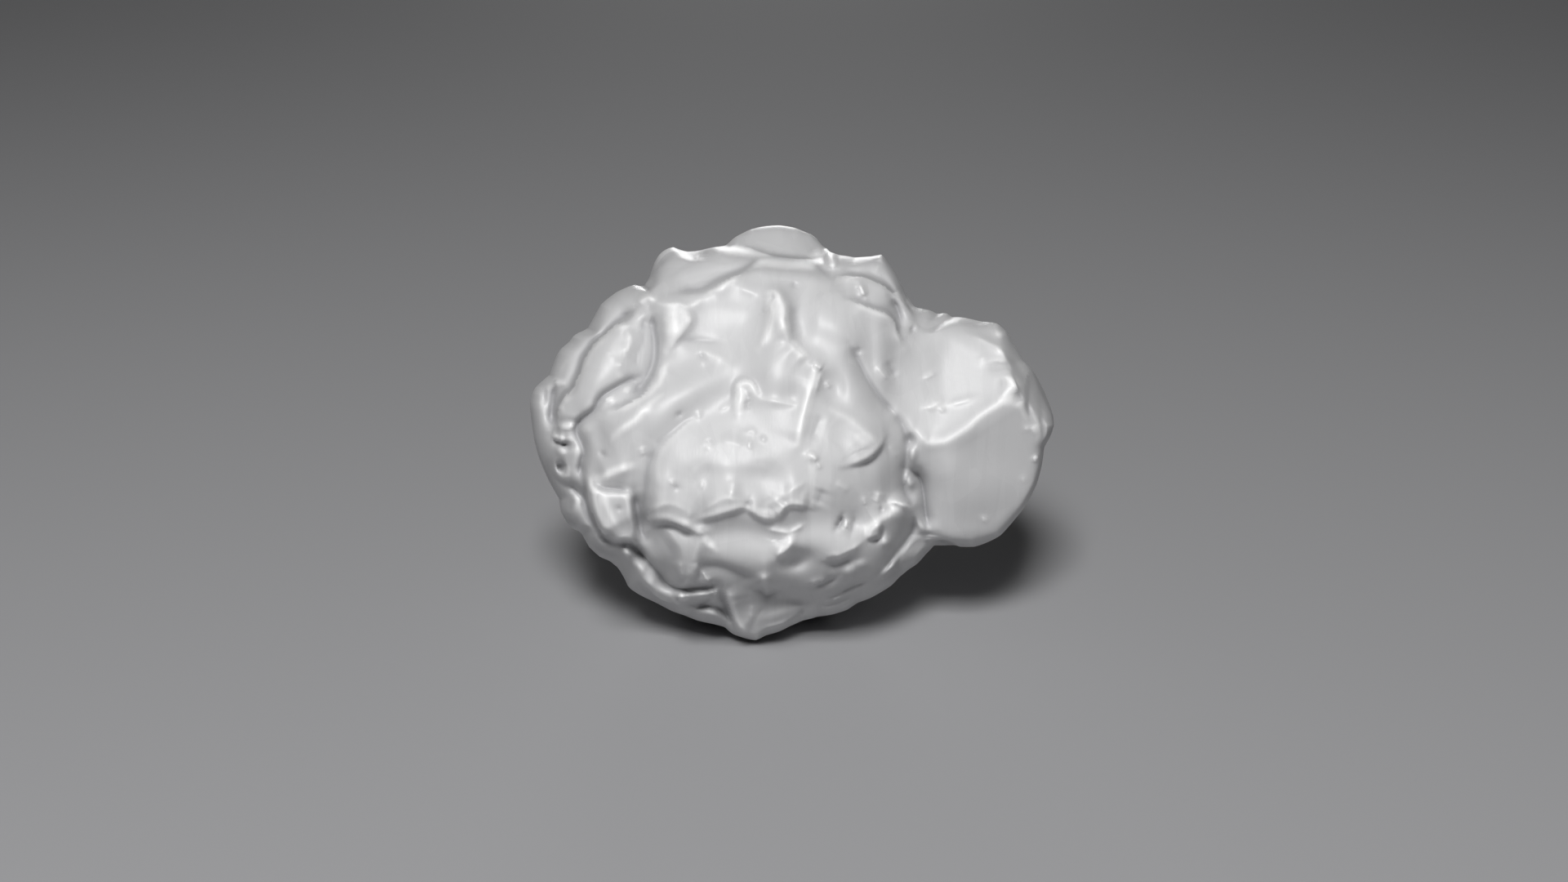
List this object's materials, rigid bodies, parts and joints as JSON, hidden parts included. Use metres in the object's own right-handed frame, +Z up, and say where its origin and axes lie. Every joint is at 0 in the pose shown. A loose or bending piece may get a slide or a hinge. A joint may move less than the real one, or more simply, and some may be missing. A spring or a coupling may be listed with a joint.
{
  "type": "hailstone",
  "caption": "Large knobbly hailstone: a plated, ridged and pitted rounded body with a big faceted lobe at its side and a smooth dome on top, resting on a small flat spot.",
  "frame": {"origin": "middle of the stone's box at the height of the flat spot that it rests on", "axes": "+Z up, +X along the longest way through the stone, from the body out to the faceted lobe, and the plated face towards -Y"},
  "size_m": [0.0998, 0.075, 0.071],
  "materials": {
    "ice": "satin"
  },
  "bodies": {
    "root": {"hailstone": "ice"}
  },
  "joints": []
}
